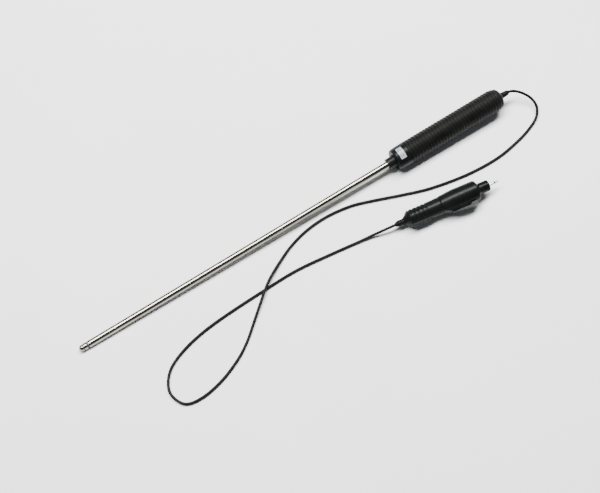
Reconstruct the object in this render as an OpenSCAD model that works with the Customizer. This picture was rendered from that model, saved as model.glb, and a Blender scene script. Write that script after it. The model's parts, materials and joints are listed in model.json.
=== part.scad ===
// Grain moisture meter probe: a two-electrode lance with a ribbed grip, a free lead and a latching plug.
// +X runs from the nose to the grip, +Z is up, and the probe lies on the plane z = 0.
// The lance rests on the front end of its tube and on the rear edge of its grip's front cap.

/* [Lance] */
// Outer diameter of the lance tube
tube_d = 8.6; // [8.4:0.1:9]
// Wall thickness of the lance tube
tube_wall = 0.85; // [0.7:0.05:0.9]
// Bare length of the tube, from the tip to the gland nut
tube_bare = 423; // [380:1:480]
// Diameter of the rounded nose electrode
nose_d = 8.2; // [7.8:0.1:8.3]
// Length of the nose electrode
nose_len = 5; // [4.6:0.1:5]
// Diameter of the ring electrode
ring_d = 8.4; // [8:0.1:8.6]
// Length of the ring electrode
ring_len = 4; // [3:0.1:6]
// Width of the insulating gap between the nose and the ring
nose_gap = 1.2; // [0.8:0.1:2]
// Width of the insulating gap between the ring and the tube
ring_gap = 2.2; // [1:0.1:3]

/* [Grip] */
// Outer diameter of the grip
grip_d = 29.4; // [29:0.1:31]
// Length of the grip, its two caps included
grip_len = 163; // [158:0.5:168]
// Length of the smooth front cap
cap_len = 18.5; // [18:0.5:20]
// Length of the rounded edge behind the cap's front face
cap_edge = 4.6; // [4:0.1:5]
// Number of ribs on the grip sleeve
rib_count = 31; // [20:1:32]
// Depth of the grooves between the ribs
rib_depth = 0.8; // [0.4:0.1:1.2]
// Length of the gland nut in front of the grip
nut_len = 9.8; // [9:0.1:12]
// Length of the strain relief behind the grip
relief_len = 11; // [10:0.5:16]

/* [Label] */
// Length of the label along the grip
label_len = 7.5; // [6:0.1:9]
// Angle that the label covers round the grip
label_sweep = 63; // [30:1:90]
// Thickness of the label
label_t = 0.25; // [0.1:0.05:0.4]

/* [Lead] */
// Diameter of the lead
lead_d = 3.6; // [3.5:0.1:3.7]

/* [Plug] */
// Diameter of the plug's rear shell
rear_d = 21.6; // [21.4:0.1:22]
// Diameter of the plug's front shell
front_d = 26.3; // [26:0.1:26.6]
// Diameter of the nose collar
collar_d = 14.3; // [14:0.1:14.6]
// Diameter of the jack pin
jack_d = 3.5; // [3.5:0.1:3.6]
// Length of the jack pin in front of the collar
jack_len = 14.3; // [14:0.1:15]
// Width of the latch lever
latch_w = 8; // [7:0.1:8]

/* [Hidden] */
$fn = 72;

// Gap between parts that slide into each other.
fit = 0.05;
// How far a cutting tool runs past the face that it cuts.
past = 1;
// Radius of every hook-up wire, insulation included.
wire_r = 0.6;
// Distance from the lead's centre to each of its two cores.
core_y = 0.9;

// Radii on the lance, from the centre outwards: rod, liner, ring conductor, liner, tube.
rod_r = 1.2;
liner_r = 2;
conductor_in_r = liner_r + fit;
conductor_r = 2.8;
tube_r = tube_d / 2;
tube_in_r = tube_r - tube_wall;
seat_r = tube_r - 0.2;
nose_r = nose_d / 2;
ring_r = ring_d / 2;
groove_r = 3.7;
grip_r = grip_d / 2;
core_r = 11.6;
// How much the front cap still widens behind its rounded edge.
cap_rise = 0.5;
core_in_r = 9.5;
spigot_r = core_in_r - 2 * fit;
gland_r = 6.5;
lead_r = lead_d / 2;
lead_bore_r = lead_r + fit;
relief_flange_r = 5;
relief_neck_r = 3.3;
relief_base_r = 4;
relief_tip_r = 2.4;

// Stations along the lance, measured from the end of the nose.
rod_start = nose_len / 2;
ring_start = nose_len + nose_gap;
ring_end = ring_start + ring_len;
tube_start = ring_end + ring_gap;
tube_chamfer = 0.3;
plug_in = 8;
nut_start = tube_start + tube_bare;
grip_start = nut_start + nut_len;
gland_depth = 8;
gland_thread = 4;
ribs_start = grip_start + cap_len;
cap_end = ribs_start + 20;
tube_end = cap_end + 10;
outer_liner_end = tube_end + 6;
conductor_end = outer_liner_end + 6;
inner_liner_end = conductor_end + 7;
rod_end = inner_liner_end + 5;
grip_end = grip_start + grip_len;
round_r = 22;
round_start = grip_end - 15.4;
sleeve_end = grip_end - 6.6;
core_end = sleeve_end - 4.6;
rear_spigot_start = core_end - 12;
relief_end = grip_end + relief_len;
relief_flange_start = rear_spigot_start + 3.5;
relief_flange_end = rear_spigot_start + 6;
rib_pitch = (sleeve_end - 0.9 - ribs_start) / rib_count;
label_start = grip_start + 5.4;
label_turn = 3;
board_start = rod_end + 3;
board_len = 48;
board_w = 16;
board_t = 1.6;
board_z = -3.8;
board_end = board_start + board_len;
block_size = [8, 12, 7];
block_start = board_end - 14;
lead_inner_start = board_end + 5;

// The lance's tilt, as it lies on its tube's front end and on its cap's rear edge.
tip_rest = tube_start + tube_chamfer;
tilt = atan((grip_r - tube_r) / (ribs_start - tip_rest));
lance_z = tube_r * cos(tilt) - tip_rest * sin(tilt);
lance_back = relief_end * cos(tilt) + relief_tip_r * sin(tilt);
lance_front = nose_r * (cos(tilt) - 1);
lance_x = -(lance_back + lance_front) / 2;
exit_x = lance_x + relief_end * cos(tilt);

// Stations along the plug, measured from the back of its rear shell's cone.
boot_start = -13.5;
shell_start = -2;
cone_end = 5.6;
seam = 46.8;
spigot_len = 7;
cavity_end = 88;
flare_end = 67;
shoulder_start = 94.8;
front_end = 99.2;
collar_end = 109.8;
nose_end = 112.7;
jack_end = nose_end + jack_len;
plug_rib_pitch = 5.35;
plug_grooves = 5;
first_groove = 6.9;
pad_start = 4.5;
pad_end = 31.8;
clamp_start = 12;
clamp_end = 20;
lead_plug_inside = 24;
boot_r = 3.9;
boot_flange_r = 5.4;
rear_r = rear_d / 2;
front_r = front_d / 2;
seam_r = rear_r + 0.1;
pad_w = 10;
cavity_r = 7.6;
rear_cavity_r = 8;
shell_spigot_r = 8.7;
collar_r = collar_d / 2;
collar_spigot_r = 4.4;
jack_r = jack_d / 2;
jack_flange_r = 3.4;
jack_shank_r = 2.3;
jack_washer_r = 2.1;
jack_bore_r = 1.2;
jack_rod_r = 0.6;
jack_core_r = jack_bore_r - fit;

// The latch, on the plug's -Y side.
latch_start = 56.6;
latch_end = 91;
latch_pivot = [69, -13.3];
latch_pin_r = 1;
latch_face = -17.7;
latch_under = -13;
channel_floor = -11.3;
channel_start = 56;
channel_end = 92;
channel_w = latch_w + 0.6;
rail_top = -14.7;
housing_foot = -8.9;
housing_foot_w = 14.6;
housing_top_w = 10.6;
// The latch pin goes in from below and stops inside the upper rail.
pin_bottom = -channel_w / 2 - 1.1;
pin_top = channel_w / 2 + 0.8;
spring_at = 60.5;
spring_pocket_r = 1.8;
spring_floor = -9.4;
spring_r = 1.35;
spring_wire_r = 0.22;
spring_turns = 4;

// The plug's place, measured from the lead's exit, and its tilt as it lies on its two shells.
plug_at = [-206, -72.7];
plug_turn = -8.7;
plug_tilt = atan((front_r - rear_r) / (flare_end - cone_end));
plug_z = rear_r * cos(plug_tilt) - cone_end * sin(plug_tilt);

// The lead's route: [distance behind the exit, y, z] of its centre, between its two straight ends.
lead_route = [
    [5, -1.5, 18], [11, -5.5, 17], [18, -12.5, 14], [23.5, -22, 10], [23.5, -33, 6.5], [16, -43, 3.5],
    [2, -50, 2], [-22, -57, 2], [-59, -62.5, 2], [-104, -60.5, 2], [-152, -51.5, 2], [-187, -40, 2],
    [-222, -27, 2], [-250, -18, 2], [-282, -14, 2], [-312, -16, 2], [-339, -23, 2], [-362, -33.5, 3.5],
    [-382, -44.5, 5.5], [-396, -54.5, 6], [-410, -66, 5], [-427, -80, 3], [-447, -96.5, 2], [-468, -109.5, 2],
    [-497, -121, 2], [-526, -126, 2], [-547, -121.5, 2], [-555, -102, 2], [-546, -83, 2], [-528, -70.5, 2],
    [-497, -61, 2], [-457, -56, 2], [-396, -53.5, 2], [-352, -53, 2], [-308, -57.5, 2], [-266, -63, 2.3],
    [-248, -65.5, 4.5], [-230, -69, 8.8]
];
lead_sides = 8;
// Longest distance between two rings of the lead.
ring_step = 17;

// ---------- placing ----------

function lance_direction() = [cos(tilt), 0, sin(tilt)];

function lance_point(s) = [lance_x, 0, lance_z] + s * lance_direction();

function plug_direction() = [
    cos(plug_tilt) * cos(plug_turn),
    cos(plug_tilt) * sin(plug_turn),
    sin(plug_tilt)
];

function plug_origin() = [exit_x + plug_at[0], plug_at[1], plug_z];

function plug_point(s) = plug_origin() + s * plug_direction();

// Puts a part drawn along +X from the nose's end in its place on the lance.
module lance_pose() {
    translate([lance_x, 0, lance_z])
        rotate([0, -tilt, 0])
            children();
}

// Puts a part drawn along +X from the back of the cone in its place on the plug.
module plug_pose() {
    translate(plug_origin())
        rotate([0, -plug_tilt, plug_turn])
            children();
}

// ---------- shapes ----------

// A solid of revolution about X, from an outline of [x, radius] points.
module turned(outline) {
    rotate([0, 90, 0])
        rotate_extrude()
            polygon([for (p = outline) [p[1], p[0]]]);
}

// A disc or a tube along X.
module tube(start, end, outer_r, inner_r = 0) {
    if (inner_r == 0)
        turned([[start, 0], [start, outer_r], [end, outer_r], [end, 0]]);
    else
        turned([[start, inner_r], [start, outer_r], [end, outer_r], [end, inner_r]]);
}

// Turns what is drawn along +Z to point along a direction.
module aimed(direction) {
    rotate([0, acos(direction[2] / norm(direction)), atan2(direction[1], direction[0])])
        children();
}

// A wire through a list of points, with a small bead at each bend.
module wire(points, r = wire_r) {
    bead_r = r + 0.05;
    for (i = [0 : len(points) - 2])
        let (along = points[i + 1] - points[i])
        translate(points[i])
            aimed(along) {
                cylinder(h = norm(along), r = r);
                if (i > 0)
                    sphere(r = bead_r);
            }
}

// A pan-head screw that points down, with the underside of its head at z = 0.
module pan_screw(r, length, head_r, head_h) {
    slot = [2 * head_r + past, 0.6, head_h];
    difference() {
        union() {
            cylinder(h = head_h, r = head_r);
            translate([0, 0, -length])
                cylinder(h = length, r = r);
        }
        translate([0, 0, 1.5 * head_h - head_h / 2])
            cube(slot, center = true);
    }
}

// ---------- sweeping ----------

function unit(v) = v / norm(v);

// A point on the smooth curve through b and c, with a before them and d after them.
function curve_point(a, b, c, d, t) =
    0.5 * (2 * b + (c - a) * t + (2 * a - 5 * b + 4 * c - d) * t * t + (3 * b - a - 3 * c + d) * t * t * t);

function at(points, i) = points[max(0, min(len(points) - 1, i))];

// The route's points with more between them, no further than step apart.
function smooth(points, step) = concat(
    [
        for (i = [0 : len(points) - 2])
            let (pieces = ceil(norm(points[i + 1] - points[i]) / step))
            for (k = [0 : pieces - 1])
                curve_point(at(points, i - 1), points[i], points[i + 1], at(points, i + 2), k / pieces)
    ],
    [points[len(points) - 1]]
);

// One ring of a swept tube, square to direction.
function ring_at(centre, direction, r, sides) =
    let (side = unit(cross(direction, [0, 0, 1])), up = cross(side, direction))
    [for (k = [0 : sides - 1]) centre + r * (cos(360 * k / sides) * side + sin(360 * k / sides) * up)];

// A closed tube through centres, with its end faces square to first and last.
module swept(centres, first, last, r, sides) {
    n = len(centres);
    directions = [
        for (i = [0 : n - 1])
            i == 0 ? first : i == n - 1 ? last : unit(centres[i + 1] - centres[i - 1])
    ];
    points = [for (i = [0 : n - 1]) each ring_at(centres[i], directions[i], r, sides)];
    walls = [
        for (i = [0 : n - 2])
            for (k = [0 : sides - 1])
                let (a = i * sides + k, b = i * sides + (k + 1) % sides)
                each [[a, b, b + sides], [a, b + sides, a + sides]]
    ];
    start_face = [for (k = [sides - 1 : -1 : 0]) k];
    end_face = [for (k = [0 : sides - 1]) (n - 1) * sides + k];
    polyhedron(points, concat(walls, [start_face, end_face]));
}

// ---------- the lance's tip ----------

// The rounded nose that touches the grain first, with a socket for the centre rod.
module tip_electrode() {
    dome_r = nose_r + 0.1;
    color("silver") lance_pose() difference() {
        intersection() {
            tube(0, nose_len, nose_r);
            translate([dome_r, 0, 0])
                sphere(r = dome_r);
        }
        tube(rod_start, nose_len + past, rod_r + fit);
    }
}

module tip_insulator() {
    color("dimgray") lance_pose() tube(nose_len, ring_start, groove_r, rod_r + fit);
}

module ring_electrode() {
    edge = 0.4;
    bore_r = conductor_r + fit;
    color("silver") lance_pose() turned([
        [ring_start, bore_r], [ring_start, ring_r - edge], [ring_start + edge, ring_r],
        [ring_end - edge, ring_r], [ring_end, ring_r - edge], [ring_end, bore_r]
    ]);
}

module ring_insulator() {
    bore_r = conductor_r + fit;
    inside_r = tube_in_r - fit;
    color("dimgray") lance_pose() turned([
        [ring_end, bore_r], [ring_end, groove_r], [tube_start, groove_r], [tube_start, inside_r],
        [tube_start + plug_in, inside_r], [tube_start + plug_in, bore_r]
    ]);
}

// ---------- the lance's coaxial conductors ----------

// The tube is turned down a little where it sits in the grip.
module lance_tube() {
    seat_start = nut_start - fit;
    color("lightgray") lance_pose() turned([
        [tube_start, tube_in_r], [tube_start, tube_r - tube_chamfer], [tip_rest, tube_r],
        [seat_start, tube_r], [seat_start, seat_r], [tube_end, seat_r], [tube_end, tube_in_r]
    ]);
}

module centre_rod() {
    color("gray") lance_pose() tube(rod_start, rod_end, rod_r);
}

module inner_liner() {
    color("whitesmoke") lance_pose() tube(ring_start, inner_liner_end, liner_r, rod_r + fit);
}

module ring_conductor() {
    color("gray") lance_pose() tube(ring_start, conductor_end, conductor_r, conductor_in_r);
}

module outer_liner() {
    color("whitesmoke") lance_pose()
        tube(tube_start + plug_in, outer_liner_end, tube_in_r - fit, conductor_r + fit);
}

// ---------- the grip ----------

// The gland nut screws into the front cap and presses the seal round the tube.
module gland_nut() {
    bore_r = seat_r + fit;
    front_r = 6.8;
    edge = 0.6;
    color([0.10, 0.11, 0.10]) lance_pose() turned([
        [nut_start, bore_r], [nut_start, front_r - edge], [nut_start + edge, front_r],
        [grip_start - 3.5, front_r + 0.1], [grip_start - 1.5, front_r + 0.5], [grip_start, front_r + 1],
        [grip_start, gland_r - fit], [grip_start + gland_thread, gland_r - fit],
        [grip_start + gland_thread, bore_r]
    ]);
}

module gland_seal() {
    section_r = (gland_r - seat_r) / 2 - fit;
    color("black") lance_pose()
        translate([grip_start + gland_thread + section_r + fit, 0, 0])
            rotate([0, 90, 0])
                rotate_extrude()
                    translate([(gland_r + seat_r) / 2, 0])
                        circle(r = section_r);
}

// The smooth front cap carries the tube in a long spigot that fits inside the handle core.
module front_cap() {
    screw_r = 1.5;
    color([0.09, 0.09, 0.10]) lance_pose() difference() {
        turned([
            [grip_start, gland_r], [grip_start, grip_r - 2.2],
            [grip_start + 0.4 * cap_edge, grip_r - cap_rise - 0.5],
            [grip_start + cap_edge, grip_r - cap_rise], [ribs_start, grip_r],
            [ribs_start, spigot_r], [cap_end, spigot_r], [cap_end, seat_r + fit],
            [grip_start + gland_depth, seat_r + fit], [grip_start + gland_depth, gland_r]
        ]);
        translate([ribs_start + 10, 0, -spigot_r - past])
            cylinder(h = 2 * (spigot_r + past), r = screw_r + fit);
    }
}

// Two grub screws hold the tube in the front cap's spigot.
module grub_screws() {
    screw_r = 1.5;
    socket_r = 0.75;
    length = 4;
    color("dimgray") lance_pose()
        for (side = [0, 180])
            translate([ribs_start + 10, 0, 0])
                rotate([side, 0, 0])
                    translate([0, 0, seat_r])
                        difference() {
                            cylinder(h = length, r = screw_r);
                            translate([0, 0, length - 1.5])
                                cylinder(h = 1.5 + past, r = socket_r, $fn = 6);
                        }
}

module handle_core() {
    color("dimgray") lance_pose() tube(ribs_start, core_end, core_r, core_in_r);
}

// The grip's outside, rounded over at its rear end.
function grip_radius(x) =
    x < round_start ? grip_r : grip_r - round_r + sqrt(round_r * round_r - pow(x - round_start, 2));

// A rubber sleeve with round-about ribs.
module grip_sleeve() {
    ribs = [
        for (i = [0 : rib_count - 1])
            let (x = ribs_start + i * rib_pitch)
            each [
                [x, grip_radius(x) - rib_depth],
                [x + 0.2 * rib_pitch, grip_radius(x) - rib_depth],
                [x + 0.4 * rib_pitch, grip_radius(x + 0.4 * rib_pitch)],
                [x + 0.8 * rib_pitch, grip_radius(x + 0.8 * rib_pitch)]
            ]
    ];
    last_rib = ribs_start + rib_count * rib_pitch;
    rear = [[last_rib, grip_radius(last_rib) - rib_depth], [sleeve_end, grip_radius(sleeve_end)]];
    bore = [[sleeve_end, core_r + fit], [ribs_start, core_r + fit]];
    color([0.07, 0.07, 0.07]) lance_pose() turned(concat(ribs, rear, bore));
}

// The rear cap closes the core and holds the strain relief.
module rear_cap() {
    color([0.09, 0.09, 0.09]) lance_pose() turned([
        [rear_spigot_start, relief_flange_r + fit], [rear_spigot_start, spigot_r], [core_end, spigot_r],
        [core_end, core_r], [sleeve_end, core_r], [sleeve_end, grip_radius(sleeve_end)],
        [sleeve_end + 1.8, 12.3], [sleeve_end + 3.6, 10.3], [sleeve_end + 5.4, 6.9], [grip_end, 4.5],
        [grip_end, relief_neck_r + fit], [relief_flange_end, relief_neck_r + fit],
        [relief_flange_end, relief_flange_r + fit]
    ]);
}

// The front cap's outside behind its rounded edge.
function cap_radius(x) = grip_r - cap_rise * (ribs_start - x) / (cap_len - cap_edge);

module label() {
    label_end = label_start + label_len;
    start_r = cap_radius(label_start);
    end_r = cap_radius(label_end);
    color("gainsboro") lance_pose()
        rotate([0, 90, 0])
            rotate([0, 0, 180 + label_turn - label_sweep / 2])
                rotate_extrude(angle = label_sweep)
                    polygon([
                        [start_r, label_start], [start_r + label_t, label_start],
                        [end_r + label_t, label_end], [end_r, label_end]
                    ]);
}

// ---------- inside the grip ----------

// A flat-topped insulating cradle in the bottom of the core carries the board.
module board_cradle() {
    color("dimgray") lance_pose() intersection() {
        tube(board_start, board_end, core_in_r - fit);
        translate([board_start - past, -core_in_r, board_z - core_in_r])
            cube([board_len + 2 * past, 2 * core_in_r, core_in_r]);
    }
}

board_screw_places = [board_start + 4, board_start + 26];

module terminal_board() {
    screw_r = 1;
    color("darkgreen") lance_pose() difference() {
        translate([board_start, -board_w / 2, board_z])
            cube([board_len, board_w, board_t]);
        for (x = board_screw_places)
            translate([x, 0, board_z - past])
                cylinder(h = board_t + 2 * past, r = screw_r + fit);
    }
}

module board_screws() {
    color("silver") lance_pose()
        for (x = board_screw_places)
            translate([x, 0, board_z + board_t])
                pan_screw(1, board_t, 1.8, 1.1);
}

module terminal_block() {
    color("seagreen") lance_pose()
        translate([block_start, -block_size[1] / 2, board_z + board_t])
            cube(block_size);
}

module terminal_screws() {
    top = board_z + board_t + block_size[2];
    color("silver") lance_pose()
        for (y = [-2.8, 2.8])
            translate([block_start + block_size[0] / 2, y, top])
                difference() {
                    cylinder(h = 0.7, r = 1.5);
                    translate([-2, -0.25, 0.3])
                        cube([4, 0.5, past]);
                }
}

wire_z = 1.2;
wire_y = 2.8;

module tip_wire() {
    color("firebrick") lance_pose()
        wire([
            [rod_end, 0, 0], [rod_end + 3, 0, 0],
            [rod_end + 14, wire_y, wire_z], [block_start, wire_y, wire_z]
        ]);
}

module ring_wire() {
    start = conductor_end - 2.5;
    height = conductor_r + wire_r;
    color("royalblue") lance_pose()
        wire([
            [start, 0, height], [conductor_end, 0, height],
            [rod_end + 12, -wire_y, wire_z], [block_start, -wire_y, wire_z]
        ]);
}

// One of the lead's two cores, from the terminal block to the lead's stripped end.
module lead_core(side) {
    block_end = block_start + block_size[0];
    lance_pose()
        wire([
            [block_end, side * wire_y, wire_z], [block_end + 2, side * wire_y, wire_z],
            [lead_inner_start - 2, side * core_y, 0], [lead_inner_start, side * core_y, 0]
        ]);
}

module lead_tip_core() {
    color("firebrick") lead_core(1);
}

module lead_ring_core() {
    color("white") lead_core(-1);
}

// ---------- the lead's exit ----------

module lead_inner_end() {
    color([0.05, 0.05, 0.05]) lance_pose() tube(lead_inner_start, relief_end, lead_r);
}

// A crimped ferrule stops the lead from being pulled out of the grip.
module lead_ferrule() {
    color("goldenrod") lance_pose()
        tube(relief_flange_start - 7, relief_flange_start, lead_r + 0.9, lead_bore_r);
}

// A tapered rubber strain relief, gripped by its flange inside the rear cap.
module strain_relief() {
    color([0.06, 0.06, 0.06]) lance_pose() turned([
        [relief_flange_start, lead_bore_r], [relief_flange_start, relief_flange_r],
        [relief_flange_end, relief_flange_r], [relief_flange_end, relief_neck_r],
        [grip_end, relief_neck_r], [grip_end, relief_base_r],
        [grip_end + 0.4 * relief_len, relief_base_r - 0.2], [grip_end + 0.8 * relief_len, relief_neck_r],
        [relief_end, relief_tip_r], [relief_end, lead_bore_r]
    ]);
}

// ---------- the lead ----------

module lead() {
    free = [for (p = lead_route) p + [exit_x, 0, 0]];
    route = concat([lance_point(relief_end)], free, [plug_point(boot_start)]);
    color([0.04, 0.04, 0.04])
        swept(smooth(route, ring_step), lance_direction(), plug_direction(), lead_r, lead_sides);
}

// ---------- the plug's rear half ----------

module plug_boot() {
    color([0.06, 0.06, 0.06]) plug_pose() turned([
        [boot_start, lead_bore_r], [boot_start, 2.4], [-12.4, 2.9], [-10.8, 3.5], [-9.4, boot_r + 0.2],
        [-7.6, boot_r + 0.2], [-6.8, boot_r], [4, boot_r], [4, boot_flange_r], [6.5, boot_flange_r],
        [6.5, lead_bore_r]
    ]);
}

module lead_plug_end() {
    color([0.05, 0.05, 0.05]) plug_pose() tube(boot_start, lead_plug_inside, lead_r);
}

clamp_screw_places = [clamp_start + 2.2, clamp_end - 2.2];
clamp_screw_y = 4.6;
clamp_seat_z = 3.2;

// A slit clamp closed on the lead by two screws.
module cord_clamp() {
    slit = 0.8;
    screw_r = 1;
    color("dimgray") plug_pose() difference() {
        tube(clamp_start, clamp_end, rear_cavity_r - fit, lead_bore_r);
        translate([clamp_start - past, lead_r, -slit / 2])
            cube([clamp_end - clamp_start + 2 * past, rear_cavity_r, slit]);
        for (x = clamp_screw_places)
            translate([x, clamp_screw_y, -rear_cavity_r])
                cylinder(h = 2 * rear_cavity_r, r = screw_r + fit);
        for (x = clamp_screw_places)
            translate([x, clamp_screw_y, clamp_seat_z])
                cylinder(h = rear_cavity_r, r = 1.9);
    }
}

module clamp_screws() {
    color("silver") plug_pose()
        for (x = clamp_screw_places)
            translate([x, clamp_screw_y, clamp_seat_z])
                pan_screw(1, 7.5, 1.8, 1);
}

// The space that the thumb pad lies in, down to a flat floor.
module pad_space() {
    floor_y = -9;
    translate([pad_start, floor_y - 2 * rear_r, -pad_w / 2])
        cube([pad_end - pad_start, 2 * rear_r, pad_w]);
}

module plug_rear_shell() {
    depth = 0.7;
    grooves = [
        for (i = [0 : plug_grooves - 1])
            let (x = first_groove + i * plug_rib_pitch)
            each [[x - 1.2, rear_r], [x - 0.5, rear_r - depth], [x + 0.5, rear_r - depth], [x + 1.2, rear_r]]
    ];
    outside = concat(
        [[shell_start, boot_r + 0.8], [0, 5.8], [3, 8.8], [4.6, rear_r - 0.5], [cone_end, rear_r]],
        grooves,
        [[pad_end + 2, rear_r], [39, rear_r + 0.1], [seam - 0.8, rear_r + 0.4], [seam, seam_r]]
    );
    inside = [
        [seam, shell_spigot_r], [seam + spigot_len, shell_spigot_r], [seam + spigot_len, cavity_r],
        [seam, cavity_r], [seam - 4, rear_cavity_r], [8, rear_cavity_r], [8, boot_flange_r + fit],
        [4 - fit, boot_flange_r + fit], [4 - fit, boot_r + fit], [shell_start, boot_r + fit]
    ];
    color([0.08, 0.08, 0.08]) plug_pose() difference() {
        turned(concat(outside, inside));
        pad_space();
    }
}

// A soft ribbed pad for the thumb, on the latch's side.
module thumb_pad() {
    low_r = rear_r + 1.1;
    high_r = rear_r + 1.7;
    ridges = [
        for (i = [0 : plug_grooves - 2])
            let (x = first_groove + (i + 0.5) * plug_rib_pitch)
            each [[x - 1.9, low_r], [x - 1.3, high_r], [x + 1.3, high_r], [x + 1.9, low_r]]
    ];
    outside = concat(
        [[pad_start, 0], [pad_start, rear_r - 0.2], [pad_start + 1.5, low_r]],
        ridges,
        [[pad_end - 1, low_r], [pad_end, rear_r + 0.2], [pad_end, 0]]
    );
    color([0.10, 0.10, 0.11]) plug_pose() intersection() {
        turned(outside);
        translate([0, -fit, 0])
            pad_space();
    }
}

// ---------- the plug's front half ----------

// The raised housing round the latch: a ramp and the tops of the two pin rails, with sloping sides.
module latch_housing() {
    length = 83 - seam;
    intersection() {
        linear_extrude(height = housing_foot_w, center = true)
            polygon([
                [seam + 0.6, housing_foot], [seam + 0.6, -10.2], [51, -11.5], [54, -12.6],
                [channel_start, -13.7], [channel_start + 2.5, rail_top], [81.5, rail_top],
                [83, latch_pivot[1]], [83, housing_foot]
            ]);
        translate([seam, 0, 0])
            rotate([90, 0, 90])
                linear_extrude(height = length + past)
                    polygon([
                        [housing_foot, -housing_foot_w / 2], [housing_foot, housing_foot_w / 2],
                        [rail_top, housing_top_w / 2], [rail_top, -housing_top_w / 2]
                    ]);
    }
}

module plug_front_shell() {
    color([0.07, 0.08, 0.07]) plug_pose() difference() {
        union() {
            turned([
                [seam, shell_spigot_r + fit], [seam, seam_r], [seam + 0.8, rear_r + 0.6],
                [50, front_r - 1.35], [56, front_r - 0.85], [61, front_r - 0.35], [flare_end, front_r],
                [shoulder_start, front_r - 0.2], [shoulder_start + 1.6, front_r - 1],
                [shoulder_start + 3.4, 9.2], [front_end, collar_r + 0.45],
                [front_end, collar_spigot_r + fit], [cavity_end, collar_spigot_r + fit],
                [cavity_end, cavity_r], [seam + spigot_len + fit, cavity_r],
                [seam + spigot_len + fit, shell_spigot_r + fit]
            ]);
            latch_housing();
        }
        translate([channel_start, channel_floor - front_r, -channel_w / 2])
            cube([channel_end - channel_start, front_r, channel_w]);
        translate([spring_at, spring_floor, 0])
            rotate([90, 0, 0])
                cylinder(h = front_r, r = spring_pocket_r);
        translate([latch_pivot[0], latch_pivot[1], pin_bottom - past])
            cylinder(h = pin_top - pin_bottom + past + fit, r = latch_pin_r + 0.02);
    }
}

module plug_tip_core() {
    color("firebrick") plug_pose()
        wire([
            [lead_plug_inside, core_y, 0], [lead_plug_inside + 3, core_y, 0], [40, 3, 0],
            [78, 3, 0], [jack_rear - 4, 0, 0], [jack_rear, 0, 0]
        ]);
}

module plug_ring_core() {
    tag_y = wire_r + fit / 2 - jack_flange_r;
    color("white") plug_pose()
        wire([
            [lead_plug_inside, -core_y, 0], [lead_plug_inside + 3, -core_y, 0], [40, -3, 0],
            [78, -3, 0], [jack_rear - 2, tag_y, 0], [jack_sleeve_start, tag_y, 0]
        ]);
}

// ---------- the plug's nose and jack ----------

jack_rear = 88;
jack_back_flange = 93;
jack_sleeve_start = 96;
jack_sleeve_end = nose_end + 7.2;
jack_ring_end = jack_sleeve_end + 0.8;

module nose_collar() {
    edge = 0.5;
    color([0.08, 0.08, 0.08]) plug_pose() turned([
        [cavity_end + 0.5, jack_flange_r + fit], [cavity_end + 0.5, collar_spigot_r],
        [front_end, collar_spigot_r], [front_end, collar_r],
        [collar_end - edge, collar_r], [collar_end, collar_r - edge],
        [collar_end, jack_shank_r + fit], [jack_sleeve_start + 2, jack_shank_r + fit],
        [jack_sleeve_start + 2, jack_flange_r + fit]
    ]);
}

module nose_ring() {
    edge = 1;
    color([0.06, 0.06, 0.06]) plug_pose() turned([
        [collar_end, jack_shank_r + fit], [collar_end, collar_r - 0.6],
        [collar_end + 0.4, collar_r - 0.1], [nose_end - edge, collar_r - 0.1],
        [nose_end - 0.3, collar_r - 0.5], [nose_end, collar_r - 1.4], [nose_end, jack_shank_r + fit]
    ]);
}

module jack_sleeve() {
    color("silver") plug_pose() turned([
        [jack_sleeve_start, jack_bore_r], [jack_sleeve_start, jack_flange_r],
        [jack_sleeve_start + 2 - fit, jack_flange_r], [jack_sleeve_start + 2 - fit, jack_shank_r],
        [nose_end, jack_shank_r], [nose_end, jack_r], [jack_sleeve_end, jack_r],
        [jack_sleeve_end, jack_bore_r]
    ]);
}

module jack_insulator() {
    color("black") plug_pose() turned([
        [jack_back_flange, jack_rod_r + fit], [jack_back_flange, 1.6],
        [jack_back_flange + 1, jack_washer_r], [jack_sleeve_start, jack_washer_r],
        [jack_sleeve_start, jack_core_r], [jack_sleeve_end, jack_core_r], [jack_sleeve_end, jack_r],
        [jack_ring_end, jack_r], [jack_ring_end, jack_rod_r + fit]
    ]);
}

module jack_tip() {
    color("silver") plug_pose() turned([
        [jack_rear, 0], [jack_rear, jack_rod_r], [jack_ring_end, jack_rod_r], [jack_ring_end, jack_r - 0.2],
        [jack_ring_end + 0.3, jack_r], [jack_ring_end + 0.8, jack_r], [jack_ring_end + 1.6, jack_r - 0.5],
        [jack_ring_end + 2.2, jack_r - 0.25], [jack_end, 0.15], [jack_end, 0]
    ]);
}

// ---------- the latch ----------

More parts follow.
